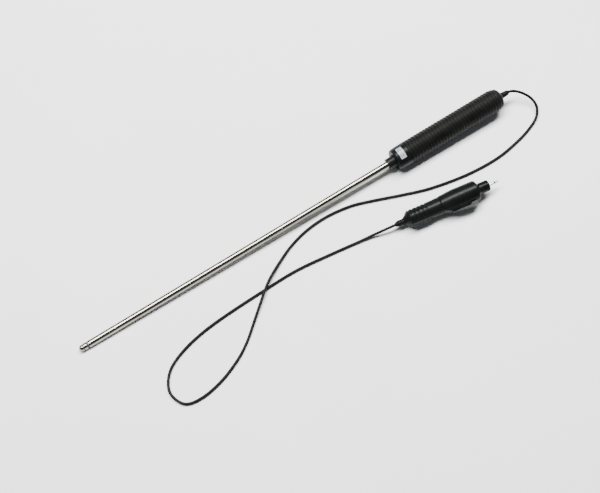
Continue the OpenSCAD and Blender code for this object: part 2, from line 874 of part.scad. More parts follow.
// A rocking lever: pressing its rear end lifts the hook at its front end off the socket's catch.
// At rest the spring holds its foot down on the shell.
module latch_lever() {
    boss_r = 1.7;
    teeth = 5;
    tooth_w = 0.6;
    rear_edge = [latch_start + 1.4, -15.3];
    thumb_end = [67, -16.6];
    foot_start = 79;
    foot_end = 81;
    foot_y = channel_floor - 0.02;
    color([0.09, 0.10, 0.10]) plug_pose() difference() {
        union() {
            linear_extrude(height = latch_w, center = true)
                polygon([
                    [latch_start, latch_under], [latch_start, -14.2], rear_edge, thumb_end,
                    [82, latch_face], [latch_end - 3, latch_face + 0.2],
                    [latch_end - 0.8, latch_face + 1], [latch_end, latch_face + 2.2],
                    [latch_end, -12.4], [latch_end - 1.2, -12.4], [latch_end - 2.2, latch_under],
                    [foot_end, latch_under], [foot_end, foot_y],
                    [foot_start, foot_y], [foot_start, latch_under]
                ]);
            translate([latch_pivot[0], latch_pivot[1], -latch_w / 2])
                cylinder(h = latch_w, r = boss_r);
        }
        translate([latch_pivot[0], latch_pivot[1], -latch_w])
            cylinder(h = 2 * latch_w, r = latch_pin_r + fit);
        for (i = [1 : teeth])
            translate(concat(rear_edge + i / (teeth + 1) * (thumb_end - rear_edge), -latch_w))
                rotate([0, 0, 45])
                    translate([-tooth_w / 2, -tooth_w / 2, 0])
                        cube([tooth_w, tooth_w, 2 * latch_w]);
    }
}

module latch_pin() {
    color("silver") plug_pose()
        translate([latch_pivot[0], latch_pivot[1], pin_bottom])
            cylinder(h = pin_top - pin_bottom, r = latch_pin_r);
}

// A small coil spring between its pocket and the lever's rear end.
module latch_spring() {
    steps = 14;
    sides = 6;
    low = spring_floor - spring_wire_r;
    high = latch_under + spring_wire_r;
    count = spring_turns * steps;
    centres = [
        for (i = [0 : count])
            [
                spring_at + spring_r * cos(360 * i / steps),
                low + (high - low) * i / count,
                spring_r * sin(360 * i / steps)
            ]
    ];
    first = unit(centres[1] - centres[0]);
    last = unit(centres[count] - centres[count - 1]);
    color("silver") plug_pose() swept(centres, first, last, spring_wire_r, sides);
}

tip_electrode();
tip_insulator();
ring_electrode();
ring_insulator();
lance_tube();
centre_rod();
inner_liner();
ring_conductor();
outer_liner();
gland_nut();
gland_seal();
front_cap();
grub_screws();
handle_core();
grip_sleeve();
rear_cap();
label();
board_cradle();
terminal_board();
board_screws();
terminal_block();
terminal_screws();
tip_wire();
ring_wire();
lead_tip_core();
lead_ring_core();
lead_inner_end();
lead_ferrule();
strain_relief();
lead();
plug_boot();
lead_plug_end();
cord_clamp();
clamp_screws();
plug_rear_shell();
thumb_pad();
plug_front_shell();
plug_tip_core();
plug_ring_core();
nose_collar();
nose_ring();
jack_sleeve();
jack_insulator();
jack_tip();
latch_lever();
latch_pin();
latch_spring();
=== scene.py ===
"""Grain moisture meter probe: a steel lance with a ribbed grip, a free lead and a latching plug."""

import json
import math

import bmesh
import bpy
from mathutils import Matrix, Vector


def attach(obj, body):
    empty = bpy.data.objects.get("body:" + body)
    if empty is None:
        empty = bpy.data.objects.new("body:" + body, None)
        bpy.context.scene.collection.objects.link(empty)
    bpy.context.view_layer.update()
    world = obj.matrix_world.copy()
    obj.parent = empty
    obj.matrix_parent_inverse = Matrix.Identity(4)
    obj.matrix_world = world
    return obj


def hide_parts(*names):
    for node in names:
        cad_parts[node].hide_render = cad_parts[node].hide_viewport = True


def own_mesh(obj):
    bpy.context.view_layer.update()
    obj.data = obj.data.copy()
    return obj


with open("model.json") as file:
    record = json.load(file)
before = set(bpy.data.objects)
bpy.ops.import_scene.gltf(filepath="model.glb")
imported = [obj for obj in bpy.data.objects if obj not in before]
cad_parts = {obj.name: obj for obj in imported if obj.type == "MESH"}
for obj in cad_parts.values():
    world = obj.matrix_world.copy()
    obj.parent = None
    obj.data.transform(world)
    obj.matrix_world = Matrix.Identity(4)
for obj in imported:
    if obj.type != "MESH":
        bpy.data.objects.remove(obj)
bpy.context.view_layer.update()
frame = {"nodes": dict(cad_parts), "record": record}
MM = 0.001
scene = bpy.context.scene

# ---------- where the lance and the plug lie ----------

MOUNTS = {m["name"]: m for m in frame["record"]["mounts"]}
HINGE = frame["record"]["behaviour"]["joints"][0]
# Stations of the points that the record's mounts and hinge are given at, in mm.
LANCE_MOUNT_AT = 225.0
COLLAR_MOUNT_AT = 104.25
RELIEF_END = 619.2
BOOT_START = -13.5


def local_frame(origin, x_axis, z_axis):
    """The matrix that puts a piece drawn in mm, along +X from origin, in its place in metres."""
    x = x_axis.normalized()
    y = z_axis.cross(x).normalized()
    z = x.cross(y)
    m = Matrix((x, y, z)).transposed().to_4x4()
    m.translation = origin
    return m


lance_dir = -Vector(MOUNTS["lance_tube_outside"]["axis"]).normalized()
LANCE = local_frame(
    Vector(MOUNTS["lance_tube_outside"]["pos_m"]) - lance_dir * LANCE_MOUNT_AT * MM,
    lance_dir, Vector((0, 0, 1)),
)
plug_dir = Vector(MOUNTS["plug_collar"]["axis"]).normalized()
PLUG = local_frame(
    Vector(MOUNTS["plug_collar"]["pos_m"]) - plug_dir * COLLAR_MOUNT_AT * MM, plug_dir, -Vector(HINGE["axis"])
)


def place(pose, x, y=0.0, z=0.0):
    return pose @ Vector((x * MM, y * MM, z * MM))


# ---------- camera ----------

TARGET_TURN = math.radians(32.434)
ELEVATION = math.radians(70)
FOCAL_PX = 1100.0
IMAGE_W = 600.0
SENSOR = 36.0
CAMERA_AT = (-0.2667, -0.4157, 1.2594)

cam_data = bpy.data.cameras.new("camera")
camera = bpy.data.objects.new("camera", cam_data)
scene.collection.objects.link(camera)
cam_data.sensor_width = SENSOR
cam_data.lens = SENSOR * FOCAL_PX / IMAGE_W
cam_data.clip_start, cam_data.clip_end = 0.01, 20
forward = Vector((
    math.sin(TARGET_TURN) * math.cos(ELEVATION),
    math.cos(TARGET_TURN) * math.cos(ELEVATION),
    -math.sin(ELEVATION),
))
right = Vector((math.cos(TARGET_TURN), -math.sin(TARGET_TURN), 0))
up = right.cross(forward)
cam_matrix = Matrix((right, up, -forward)).transposed().to_4x4()
cam_matrix.translation = CAMERA_AT
camera.matrix_world = cam_matrix
scene.camera = camera

# ---------- the lead's route: [distance behind the exit, y, z] in metres ----------

EXIT = place(LANCE, RELIEF_END)
BOOT = place(PLUG, BOOT_START)
ROUTE = [
    (0.005, -0.0015, 0.018), (0.011, -0.0055, 0.017), (0.018, -0.0125, 0.014), (0.0235, -0.022, 0.01),
    (0.0235, -0.033, 0.0065), (0.016, -0.043, 0.0035), (0.002, -0.05, 0.002), (-0.022, -0.057, 0.002),
    (-0.059, -0.0625, 0.002), (-0.104, -0.0605, 0.002), (-0.152, -0.0515, 0.002), (-0.187, -0.04, 0.002),
    (-0.222, -0.027, 0.002), (-0.25, -0.018, 0.002), (-0.282, -0.014, 0.002), (-0.312, -0.016, 0.002),
    (-0.339, -0.023, 0.002), (-0.362, -0.0335, 0.0035), (-0.382, -0.0445, 0.0055), (-0.396, -0.0545, 0.006),
    (-0.41, -0.066, 0.005), (-0.427, -0.08, 0.003), (-0.447, -0.0965, 0.002), (-0.468, -0.1095, 0.002),
    (-0.497, -0.121, 0.002), (-0.526, -0.126, 0.002), (-0.547, -0.1215, 0.002), (-0.555, -0.102, 0.002),
    (-0.546, -0.083, 0.002), (-0.528, -0.0705, 0.002), (-0.497, -0.061, 0.002), (-0.457, -0.056, 0.002),
    (-0.396, -0.0535, 0.002), (-0.352, -0.053, 0.002), (-0.308, -0.0575, 0.002), (-0.266, -0.063, 0.0023),
    (-0.248, -0.0655, 0.0045), (-0.23, -0.069, 0.0088),
]
LEAD_D = 0.0036
LEAD_STEP = 0.004


def curve_point(a, b, c, d, t):
    """A point between b and c on the smooth curve that also passes through a and d."""
    bend = 2 * a - 5 * b + 4 * c - d
    twist = 3 * b - a - 3 * c + d
    return 0.5 * (2 * b + (c - a) * t + bend * t * t + twist * t ** 3)


def smooth_route(points, step):
    out = []
    last = len(points) - 1
    for i in range(last):
        a, b, c, d = points[max(i - 1, 0)], points[i], points[i + 1], points[min(i + 2, last)]
        pieces = math.ceil((c - b).length / step)
        out += [curve_point(a, b, c, d, k / pieces) for k in range(pieces)]
    return out + [points[last]]


route = [EXIT] + [Vector((EXIT.x + x, y, z)) for x, y, z in ROUTE] + [BOOT]
lead_line = smooth_route(route, LEAD_STEP)

lead_curve = bpy.data.curves.new("lead_cord", "CURVE")
lead_curve.dimensions = "3D"
lead_curve.bevel_depth = LEAD_D / 2
lead_curve.bevel_resolution = 6
lead_curve.use_fill_caps = True
spline = lead_curve.splines.new("POLY")
spline.points.add(len(lead_line) - 1)
for point, co in zip(spline.points, lead_line):
    point.co = (*co, 1)
spline.use_smooth = True
lead = bpy.data.objects.new("lead_cord", lead_curve)
scene.collection.objects.link(lead)

# ---------- shader helpers ----------


class Tree:
    """A small builder for one material's nodes."""

    def __init__(self, name, **sockets):
        self.material = bpy.data.materials.new(name)
        self.material.use_nodes = True
        self.tree = self.material.node_tree
        self.shader = self.tree.nodes["Principled BSDF"]
        for key, value in sockets.items():
            self.shader.inputs[key.replace("_", " ")].default_value = value

    def node(self, kind, **props):
        n = self.tree.nodes.new("ShaderNode" + kind)
        for key, value in props.items():
            setattr(n, key, value)
        return n

    def link(self, a, b):
        self.tree.links.new(a, b)

    def coords(self, scale=(1, 1, 1), kind="Object"):
        """Object coordinates in mm, scaled."""
        tex = self.node("TexCoord")
        mapping = self.node("Mapping")
        mapping.inputs["Scale"].default_value = tuple(s / MM for s in scale)
        self.link(tex.outputs[kind], mapping.inputs["Vector"])
        return mapping.outputs["Vector"]

    def noise(self, scale, coords=None, detail=3.0, rough=0.55):
        n = self.node("TexNoise")
        n.inputs["Scale"].default_value = scale
        n.inputs["Detail"].default_value = detail
        n.inputs["Roughness"].default_value = rough
        self.link(coords or self.coords(), n.inputs["Vector"])
        return n.outputs["Fac"]

    def ramp(self, value, low, high, at=(0.35, 0.65)):
        """value mapped from the range at to the range low..high."""
        n = self.node("MapRange")
        n.inputs["From Min"].default_value, n.inputs["From Max"].default_value = at
        n.inputs["To Min"].default_value, n.inputs["To Max"].default_value = low, high
        self.link(value, n.inputs["Value"])
        return n.outputs["Result"]

    def colour(self, value, dark, light, at=(0.35, 0.65)):
        n = self.node("ValToRGB")
        for element, pos, rgb in zip(n.color_ramp.elements, at, (dark, light)):
            element.position, element.color = pos, (*rgb, 1)
        self.link(value, n.inputs["Fac"])
        return n.outputs["Color"]

    def math(self, operation, *values):
        n = self.node("Math", operation=operation)
        for socket, value in zip(n.inputs, values):
            if isinstance(value, (int, float)):
                socket.default_value = value
            else:
                self.link(value, socket)
        return n.outputs["Value"]

    def within(self, value, limit):
        """1 where value lies between -limit and limit, 0 elsewhere."""
        return self.math("LESS_THAN", self.math("ABSOLUTE", value), limit)

    def to(self, socket, output):
        self.link(output, self.shader.inputs[socket])

    def bump(self, *layers):
        """layers of (height output, distance in mm, strength), the first one lowest."""
        normal = None
        for height, distance, strength in layers:
            n = self.node("Bump")
            n.inputs["Distance"].default_value = distance * MM
            n.inputs["Strength"].default_value = strength
            self.link(height, n.inputs["Height"])
            if normal:
                self.link(normal, n.inputs["Normal"])
            normal = n.outputs["Normal"]
        self.to("Normal", normal)


def moulded(name, dark, light, rough, grain=0.5, bump=0.02, specular=0.5, coat=0.0, wear=0.04):
    """Moulded plastic or rubber: a fine grain, uneven gloss and a faint change of tone."""
    t = Tree(name, Specular_IOR_Level=specular)
    t.shader.inputs["Coat Weight"].default_value = coat
    t.shader.inputs["Coat Roughness"].default_value = 0.12
    t.to("Base Color", t.colour(t.noise(0.06, detail=4), dark, light))
    t.to("Roughness", t.ramp(t.noise(0.35, detail=5), rough - wear, rough + wear))
    t.bump((t.noise(0.9 / grain, detail=2), bump * 2, 0.35), (t.noise(3.0 / grain, detail=2), bump, 0.5))
    return t.material


def steel(name, dark, light, rough, along=0.02, across=5.0, bump=0.004, spread=0.05):
    """Polished or brushed metal with fine marks that run along the piece's X axis."""
    t = Tree(name, Metallic=1.0)
    marks = t.noise(1.0, t.coords((along, across, across)), detail=4, rough=0.7)
    t.to("Base Color", t.colour(t.noise(0.03, detail=4), dark, light))
    t.to("Roughness", t.ramp(marks, rough - spread, rough + spread))
    t.bump((marks, bump, 0.25))
    return t.material


def wire_skin(name, dark, light):
    return moulded(name, dark, light, 0.38, grain=0.3, bump=0.006)


def label_skin(name):
    """A pale printed film with rows of small dark dashes that stand for its print."""
    t = Tree(name, Roughness=0.3)
    xyz = t.node("SeparateXYZ")
    t.link(t.coords(), xyz.inputs["Vector"])
    along, side, height = (xyz.outputs[k] for k in "XYZ")
    across = t.math("MULTIPLY", t.math("ARCTAN2", side, height), LABEL_R)
    from_middle = t.math("SUBTRACT", along, LABEL_MIDDLE)
    row = t.math("SINE", t.math("MULTIPLY", from_middle, 2 * math.pi / LABEL_ROW))
    in_row = t.math("GREATER_THAN", row, 0.1)
    cells = t.node("CombineXYZ")
    t.link(t.math("MULTIPLY", across, 0.55), cells.inputs["X"])
    t.link(t.math("FLOOR", t.math("DIVIDE", from_middle, LABEL_ROW)), cells.inputs["Y"])
    dashes = t.math("GREATER_THAN", t.noise(1.0, cells.outputs["Vector"], detail=1), 0.47)
    inside = t.math("MULTIPLY", t.within(across, LABEL_HALF_W), t.within(from_middle, LABEL_HALF_L))
    marks = t.math("MULTIPLY", t.math("MULTIPLY", in_row, dashes), inside)
    paper = t.colour(t.noise(0.3, detail=4), (0.30, 0.305, 0.32), (0.36, 0.365, 0.38))
    mix = t.node("Mix", data_type="RGBA")
    mix.inputs["B"].default_value = (0.03, 0.03, 0.032, 1)
    t.link(marks, mix.inputs["Factor"])
    t.link(paper, mix.inputs["A"])
    t.to("Base Color", mix.outputs["Result"])
    t.bump((t.noise(2.0, detail=2), 0.01, 0.3))
    return t.material


LABEL_START, LABEL_END = 450.6, 458.1
LABEL_MIDDLE, LABEL_HALF_L = 454.35, 2.9
LABEL_R, LABEL_HALF_W, LABEL_ROW = 14.7, 6.4, 2.6

MATERIALS = {
    "stainless_steel": steel("stainless_steel", (0.26, 0.255, 0.215), (0.33, 0.325, 0.28), 0.17,
                             bump=0.001, spread=0.03),
    "insulator": moulded("insulator", (0.020, 0.020, 0.020), (0.040, 0.040, 0.038), 0.4),
    "liner": moulded("liner", (0.70, 0.70, 0.66), (0.78, 0.78, 0.74), 0.35),
    "cap_plastic": moulded("cap_plastic", (0.003, 0.0033, 0.0035), (0.006, 0.0063, 0.0066), 0.36,
                           specular=0.1),
    "core_plastic": moulded("core_plastic", (0.06, 0.06, 0.06), (0.09, 0.09, 0.09), 0.55),
    "grip_rubber": moulded("grip_rubber", (0.0028, 0.0028, 0.0026), (0.0055, 0.0055, 0.0048), 0.5, grain=0.7,
                           bump=0.03, specular=0.08),
    "seal_rubber": moulded("seal_rubber", (0.02, 0.02, 0.02), (0.04, 0.04, 0.04), 0.6),
    "boot_rubber": moulded("boot_rubber", (0.003, 0.003, 0.003), (0.006, 0.006, 0.006), 0.48, specular=0.08),
    "pad_rubber": moulded("pad_rubber", (0.004, 0.0042, 0.0044), (0.007, 0.0073, 0.0076), 0.5, specular=0.07),
    "label_film": label_skin("label_film"),
    "board_laminate": moulded("board_laminate", (0.010, 0.11, 0.045), (0.020, 0.16, 0.07), 0.25, coat=0.4),
    "terminal_plastic": moulded("terminal_plastic", (0.02, 0.22, 0.09), (0.03, 0.28, 0.13), 0.4),
    "red_insulation": wire_skin("red_insulation", (0.38, 0.015, 0.012), (0.48, 0.03, 0.02)),
    "blue_insulation": wire_skin("blue_insulation", (0.02, 0.05, 0.32), (0.03, 0.08, 0.42)),
    "white_insulation": wire_skin("white_insulation", (0.72, 0.72, 0.70), (0.82, 0.82, 0.80)),
    "lead_jacket": moulded("lead_jacket", (0.003, 0.003, 0.003), (0.006, 0.006, 0.006), 0.42, grain=0.4,
                           bump=0.01, specular=0.08),
    "plug_plastic": moulded("plug_plastic", (0.0030, 0.0038, 0.0036), (0.0050, 0.0062, 0.0058), 0.30,
                            bump=0.012, specular=0.085),
    "screw_steel": steel("screw_steel", (0.42, 0.42, 0.41), (0.55, 0.55, 0.53), 0.3, along=1.0, across=1.0),
    "spring_steel": steel("spring_steel", (0.45, 0.45, 0.45), (0.60, 0.60, 0.60), 0.25, along=2.0,
                          across=2.0),
    "crimp_brass": steel("crimp_brass", (0.55, 0.38, 0.14), (0.70, 0.52, 0.22), 0.3, along=1.0, across=1.0),
    "jack_plating": steel("jack_plating", (0.68, 0.68, 0.66), (0.80, 0.80, 0.78), 0.12, along=3.0,
                          across=0.3),
}

# Every CAD node gets its slot's material; those that a finer piece replaces are hidden later.
SLOTS = {s["node"]: s["material_slot"] for s in frame["record"]["subparts"]}
for name, node in frame["nodes"].items():
    node.data.materials.clear()
    node.data.materials.append(MATERIALS[SLOTS[name]])

# ---------- mesh helpers ----------

SEGMENTS = 128


def finish_mesh(bm, name, pose, material, body, replaces=(), sharp=35):
    """Turns bm, in mm, into a piece in its place that rides on a body."""
    bmesh.ops.remove_doubles(bm, verts=bm.verts, dist=1e-4)
    bmesh.ops.recalc_face_normals(bm, faces=bm.faces)
    bm.transform(Matrix.Scale(MM, 4))
    mesh = bpy.data.meshes.new(name)
    bm.to_mesh(mesh)
    bm.free()
    mesh.shade_smooth()
    mesh.set_sharp_from_angle(angle=math.radians(sharp))
    mesh.materials.append(MATERIALS[material])
    obj = bpy.data.objects.new(name, mesh)
    scene.collection.objects.link(obj)
    obj.matrix_world = pose
    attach(obj, body)
    if replaces:
        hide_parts(*replaces)
    return obj


def rounded(points, closed, steps=4):
    """An outline of (x, r) or (x, r, fillet) points with its filleted corners turned into arcs."""
    out = []
    n = len(points)
    for i, p in enumerate(points):
        fillet = p[2] if len(p) > 2 else 0
        here = Vector(p[:2])
        if not fillet or (not closed and i in (0, n - 1)):
            out.append(here)
            continue
        a, b = Vector(points[i - 1][:2]) - here, Vector(points[(i + 1) % n][:2]) - here
        half = a.angle(b) / 2
        reach = min(fillet / math.tan(half), 0.49 * a.length, 0.49 * b.length)
        start, end = here + a.normalized() * reach, here + b.normalized() * reach
        for k in range(steps + 1):
            t = k / steps
            out.append(start * (1 - t) ** 2 + here * 2 * t * (1 - t) + end * t ** 2)
    return out


def lathe_mesh(points, closed=False, segments=SEGMENTS, start=0.0, sweep=2 * math.pi):
    """A bmesh of an outline of (x, r[, fillet]) points turned about X."""
    bm = bmesh.new()
    outline = rounded(points, closed)
    full = sweep >= 2 * math.pi - 1e-6
    count = segments if full else segments + 1
    rings = []
    for k in range(count):
        angle = start + sweep * k / segments
        rings.append([bm.verts.new((p.x, p.y * math.cos(angle), p.y * math.sin(angle))) for p in outline])
    m = len(outline)
    for k in range(segments):
        one, two = rings[k], rings[(k + 1) % count]
        for i in range(m if closed else m - 1):
            j = (i + 1) % m
            corners = [one[i], one[j], two[j], two[i]]
            if outline[i].y < 1e-6:
                corners.remove(two[i])
            if outline[j].y < 1e-6:
                corners.remove(two[j])
            bm.faces.new(corners)
    if not full and closed:
        bm.faces.new(rings[0])
        bm.faces.new(list(reversed(rings[-1])))
    return bm


def lathe(name, points, pose, material, replaces=(), closed=False, body="probe", sharp=35, **more):
    return finish_mesh(lathe_mesh(points, closed, **more), name, pose, material, body, replaces, sharp=sharp)


def box_mesh(low, high):
    bm = bmesh.new()
    bmesh.ops.create_cube(bm, size=1)
    for v in bm.verts:
        v.co = Vector([low[i] + (v.co[i] + 0.5) * (high[i] - low[i]) for i in range(3)])
    return bm


def prism(outline, low, high, soft=0.0):
    """A closed outline of (x, y[, fillet]) points as a prism from z = low to high, with its rims rounded."""
    bm = bmesh.new()
    points = rounded(outline, True)
    bottom = [bm.verts.new((p.x, p.y, low)) for p in points]
    top = [bm.verts.new((p.x, p.y, high)) for p in points]
    ends = [bm.faces.new(bottom), bm.faces.new(list(reversed(top)))]
    for i in range(len(points)):
        j = (i + 1) % len(points)
        bm.faces.new([bottom[j], bottom[i], top[i], top[j]])
    if soft:
        rims = [e for face in ends for e in face.edges]
        bmesh.ops.bevel(bm, geom=rims, offset=soft, segments=3, profile=0.5, affect="EDGES")
    return bm


def rod(r, x, y, low, high, sides=32):
    """A round rod through (x, y) from z = low to high."""
    circle = [(x + r * math.cos(2 * math.pi * k / sides), y + r * math.sin(2 * math.pi * k / sides))
              for k in range(sides)]
    return prism(circle, low, high)


def coil_mesh(x, low, high, r, wire_r, turns, steps=28, sides=10):
    """A round wire wound about the piece's Y axis, closed at both ends."""
    bm = bmesh.new()
    rings = []
    for i in range(turns * steps + 1):
        turn = 2 * math.pi * i / steps
        out = Vector((math.cos(turn), 0, math.sin(turn)))
        rise = (high - low) / (turns * 2 * math.pi * r)
        along = Vector((-math.sin(turn), rise, math.cos(turn))).normalized()
        centre = Vector((x, low + (high - low) * i / (turns * steps), 0)) + r * out
        angles = [2 * math.pi * k / sides for k in range(sides)]
        side = along.cross(out)
        corners = [centre + wire_r * (math.cos(a) * out + math.sin(a) * side) for a in angles]
        rings.append([bm.verts.new(corner) for corner in corners])
    for a, b in zip(rings, rings[1:]):
        for k in range(sides):
            bm.faces.new((a[k], a[(k + 1) % sides], b[(k + 1) % sides], b[k]))
    bm.faces.new(rings[0])
    bm.faces.new(rings[-1])
    bmesh.ops.recalc_face_normals(bm, faces=bm.faces)
    return bm


def combine(obj, operation, *tools):
    """Joins tools, bmeshes in mm in the piece's own frame, to a piece's mesh or cuts them from it."""
    bpy.context.view_layer.update()
    for bm in tools:
        bmesh.ops.recalc_face_normals(bm, faces=bm.faces)
        bm.transform(Matrix.Scale(MM, 4))
        mesh = bpy.data.meshes.new("tool")
        bm.to_mesh(mesh)
        bm.free()
        tool = bpy.data.objects.new("tool", mesh)
        scene.collection.objects.link(tool)
        tool.matrix_world = obj.matrix_world
        modifier = obj.modifiers.new("combine", "BOOLEAN")
        modifier.operation, modifier.solver, modifier.object = operation, "EXACT", tool
        result = bpy.data.meshes.new_from_object(obj.evaluated_get(bpy.context.evaluated_depsgraph_get()))
        obj.modifiers.clear()
        old = obj.data
        obj.data = result
        bpy.data.objects.remove(tool)
        for spent in (old, mesh):
            bpy.data.meshes.remove(spent)
    obj.data.shade_smooth()
    obj.data.set_sharp_from_angle(angle=math.radians(32))


# ---------- the lance's tip and tube ----------

NOSE_R, GROOVE_R, RING_R, TUBE_R, SEAT_R, BORE_R = 4.1, 3.7, 4.2, 4.3, 4.1, 2.85
NOSE_LEN, RING_START, RING_END, TUBE_START, TUBE_END = 5.0, 6.2, 10.2, 12.4, 493.7
NUT_START, GRIP_START, RIBS_START, SLEEVE_END, GRIP_END = 435.4, 445.2, 463.7, 601.6, 608.2


def dome(r, steps=16):
    return [(r - r * math.cos(a), r * math.sin(a)) for a in (math.pi / 2 * k / steps for k in range(steps))]


lathe("tip_electrode_shell",
      dome(NOSE_R) + [(NOSE_LEN, NOSE_R, 0.25), (NOSE_LEN, 1.25), (2.5, 1.25), (2.5, 0)],
      LANCE, "stainless_steel", ["tip_electrode"])
lathe("tip_insulator_ring",
      [(NOSE_LEN, 1.25), (NOSE_LEN, GROOVE_R), (RING_START, GROOVE_R), (RING_START, 1.25)],
      LANCE, "insulator", ["tip_insulator"], closed=True)
lathe("ring_electrode_shell",
      [(RING_START, BORE_R), (RING_START, RING_R, 0.4), (RING_END, RING_R, 0.4), (RING_END, BORE_R)],
      LANCE, "stainless_steel", ["ring_electrode"], closed=True)
lathe("ring_insulator_bush",
      [(RING_END, BORE_R), (RING_END, GROOVE_R), (TUBE_START, GROOVE_R), (TUBE_START, 3.4),
       (TUBE_START + 8, 3.4), (TUBE_START + 8, BORE_R)],
      LANCE, "insulator", ["ring_insulator"], closed=True)
lathe("lance_tube_shell",
      [(TUBE_START, 3.45), (TUBE_START, TUBE_R, 0.3), (NUT_START - 0.05, TUBE_R), (NUT_START - 0.05, SEAT_R),
       (TUBE_END, SEAT_R), (TUBE_END, 3.45)],
      LANCE, "stainless_steel", ["lance_tube"], closed=True)

# ---------- the gland nut, front cap, label and rear cap ----------

lathe("gland_nut_shell",
      [(NUT_START, 4.15), (NUT_START, 6.8, 0.5), (GRIP_START - 3.5, 6.9, 1.5), (GRIP_START - 1.5, 7.3, 1.0),
       (GRIP_START, 7.8, 0.15), (GRIP_START, 6.45), (GRIP_START + 4, 6.45), (GRIP_START + 4, 4.15)],
      LANCE, "cap_plastic", ["gland_nut"], closed=True)
lathe("front_cap_shell",
      [(GRIP_START, 6.5), (GRIP_START, 12.5, 0.8), (GRIP_START + 1.84, 13.7, 1.5),
       (GRIP_START + 4.6, 14.2, 2.0), (RIBS_START - 0.02, 14.7, 0.25),
       (RIBS_START - 0.02, 9.4), (483.7, 9.4), (483.7, 4.15), (GRIP_START + 8, 4.15), (GRIP_START + 8, 6.5)],
      LANCE, "cap_plastic", ["front_cap"], closed=True)
lathe("label_print",
      [(LABEL_START, 14.23), (LABEL_START, 14.48, 0.1), (LABEL_END, 14.74, 0.1), (LABEL_END, 14.50)],
      LANCE, "label_film", ["label"], closed=True, segments=48, start=math.radians(61.5),
      sweep=math.radians(63))
lathe("rear_cap_shell",
      [(585, 5.05), (585, 9.4), (597, 9.4), (597, 11.6), (SLEEVE_END, 11.6), (SLEEVE_END, 12.8, 0.2),
       (603.4, 12.3, 2.0), (605.2, 10.3, 2.5), (607, 6.9, 2.0), (GRIP_END, 4.5, 0.3), (GRIP_END, 3.35),
       (591, 3.35), (591, 5.05)],
      LANCE, "cap_plastic", ["rear_cap"], closed=True)

# ---------- the grip sleeve ----------

GRIP_R, RIB_COUNT, RIB_DEPTH, ROUND_R = 14.7, 31, 0.8, 22.0
ROUND_START = GRIP_END - 15.4
RIB_PITCH = (SLEEVE_END - 0.9 - RIBS_START) / RIB_COUNT


def grip_radius(x):
    if x < ROUND_START:
        return GRIP_R
    return GRIP_R - ROUND_R + math.sqrt(ROUND_R ** 2 - (x - ROUND_START) ** 2)


def grip_outline():
    """Soft ribs: flat narrow valleys and rounded crests."""
    out = [(RIBS_START + 0.02, 11.65)]
    per_rib = 12
    for i in range(RIB_COUNT * per_rib + 1):
        x = RIBS_START + 0.02 + i / per_rib * RIB_PITCH
        phase = i / per_rib % 1.0
        crest = max(0.0, math.sin(math.pi * min(max((phase - 0.14) / 0.78, 0), 1)))
        out.append((x, grip_radius(x) - RIB_DEPTH * (1 - crest ** 0.55) - 0.01))
    out += [(SLEEVE_END, grip_radius(SLEEVE_END) - 0.15, 0.3), (SLEEVE_END, 11.65)]
    return out


lathe("grip_sleeve_rubber", grip_outline(), LANCE, "grip_rubber", ["grip_sleeve"], closed=True, sharp=60)

# ---------- the strain relief and the lead ----------

lathe("strain_relief_rubber",
      [(588.5, 1.85), (588.5, 5.0, 0.3), (591, 5.0, 0.3), (591, 3.3), (GRIP_END, 3.3), (GRIP_END, 4.0, 0.2),
       (610.0, 3.95, 0.2), (610.3, 3.55, 0.1), (611.1, 3.5, 0.1), (611.4, 3.88, 0.2), (613.0, 3.75, 0.2),
       (613.3, 3.35, 0.1), (614.1, 3.3, 0.1), (614.4, 3.6, 0.2), (616.2, 3.4, 0.4), (617.2, 3.2, 0.8),
       (RELIEF_END, 2.4, 0.3), (RELIEF_END, 1.85)],
      LANCE, "boot_rubber", ["strain_relief"], closed=True)

lead.data.materials.append(MATERIALS["lead_jacket"])
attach(lead, "probe")
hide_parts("lead")

# ---------- the plug's rear half ----------

REAR_R, FRONT_R = 10.8, 13.15
SEAM, PAD_START, PAD_END, FIRST_GROOVE, GROOVE_PITCH = 46.8, 4.5, 31.8, 6.9, 5.35

boot = lathe("plug_boot_rubber",
             [(BOOT_START, 1.85), (BOOT_START, 2.4, 0.1), (-12.4, 2.9, 0.4), (-10.8, 3.5, 0.5),
              (-9.4, 4.1, 0.4), (-7.6, 4.1, 0.3), (-6.8, 3.9), (4.0, 3.9), (4.0, 5.4), (6.5, 5.4),
              (6.5, 1.85)],
             PLUG, "boot_rubber", ["plug_boot"], closed=True)

rear_outline = [(-2.0, 3.95), (-2.0, 4.7, 0.3), (0.0, 5.8, 1.0), (3.0, 8.8, 1.5), (4.6, 10.3, 0.6),
                (5.6, REAR_R, 0.3)]
for x in [FIRST_GROOVE + GROOVE_PITCH * i for i in range(5)]:
    rear_outline += [(x - 1.25, REAR_R, 0.7), (x - 0.45, REAR_R - 0.7, 0.35), (x + 0.45, REAR_R - 0.7, 0.35),
                     (x + 1.25, REAR_R, 0.7)]
rear_outline += [(33.8, REAR_R, 3.0), (39.0, 10.9, 3.0), (46.0, 11.2, 0.3), (46.78, 10.9, 0.1), (46.78, 8.7),
                 (53.8, 8.7), (53.8, 7.6), (SEAM, 7.6), (42.8, 8.0), (8.0, 8.0), (8.0, 5.45), (3.95, 5.45),
                 (3.95, 3.95)]
rear_shell = lathe("plug_rear_shell_body", rear_outline, PLUG, "plug_plastic", ["plug_rear_shell"],
                   closed=True)
combine(rear_shell, "DIFFERENCE", box_mesh((PAD_START, -29, -5), (PAD_END, -9, 5)))

